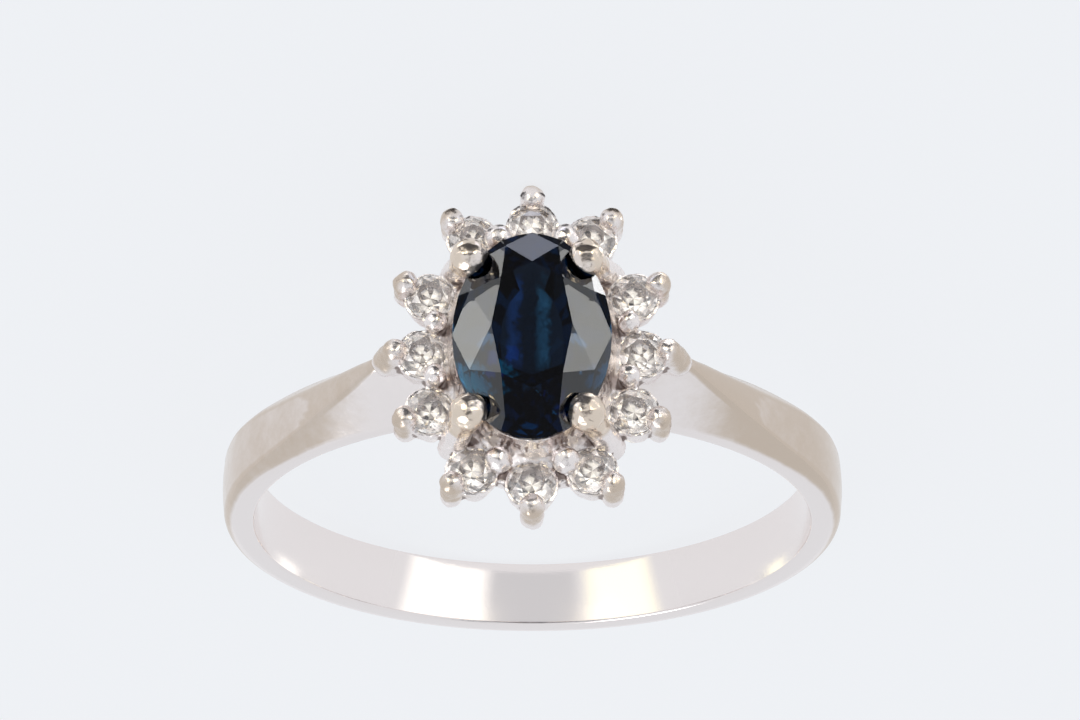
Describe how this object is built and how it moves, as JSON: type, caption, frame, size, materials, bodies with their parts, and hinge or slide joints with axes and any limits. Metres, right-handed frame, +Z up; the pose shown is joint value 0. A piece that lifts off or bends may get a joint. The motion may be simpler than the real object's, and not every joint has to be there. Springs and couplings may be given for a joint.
{
  "type": "cluster ring",
  "caption": "Finger ring with an oval sapphire in ball claws inside a halo of round brilliants, on a tapering white-gold band.",
  "frame": {"origin": "on the surface that the ring lies on, under the middle of its box", "axes": "+Z up from that surface, -Y towards the head, X across the finger"},
  "size_m": [0.0202, 0.0242, 0.0112],
  "materials": {
    "white_gold": "worn polished white gold",
    "sapphire": "polished facets, dark blue",
    "diamond": "polished facets, clear"
  },
  "bodies": {
    "root": {"ring_mount": "white_gold", "sapphire": "sapphire", "diamond_01": "diamond", "diamond_02": "diamond", "diamond_03": "diamond", "diamond_04": "diamond", "diamond_05": "diamond", "diamond_06": "diamond", "diamond_07": "diamond", "diamond_08": "diamond", "diamond_09": "diamond", "diamond_10": "diamond", "diamond_11": "diamond", "diamond_12": "diamond"}
  },
  "joints": []
}
